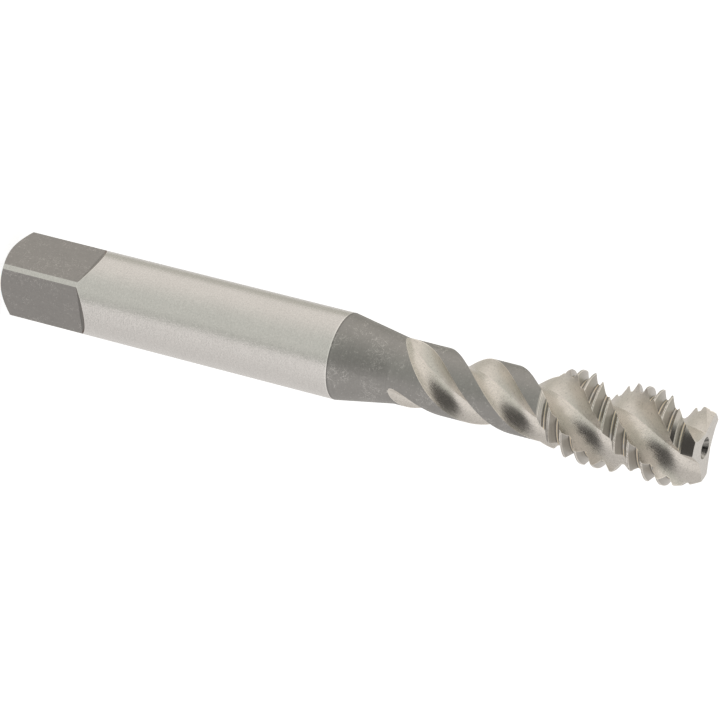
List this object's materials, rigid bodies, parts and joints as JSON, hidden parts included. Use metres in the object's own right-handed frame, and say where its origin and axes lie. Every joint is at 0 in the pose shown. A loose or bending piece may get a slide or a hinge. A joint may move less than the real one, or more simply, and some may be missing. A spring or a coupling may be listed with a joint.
{
  "type": "spiral flute thread tap",
  "caption": "Spiral fluted machine tap: a round ground shank with a square drive end, a reduced neck and a short fluted cutting thread with a tapered lead.",
  "frame": {"origin": "centre of the shank end's face, which the tap stands on", "axes": "+Z along the tap's axis from the square drive end to the cutting tip, +X and +Y square to two flats of the drive square"},
  "size_m": [0.008, 0.008, 0.0691],
  "materials": {
    "tool_steel": "ground bright steel"
  },
  "bodies": {
    "root": {"thread_tap": "tool_steel"}
  },
  "joints": []
}
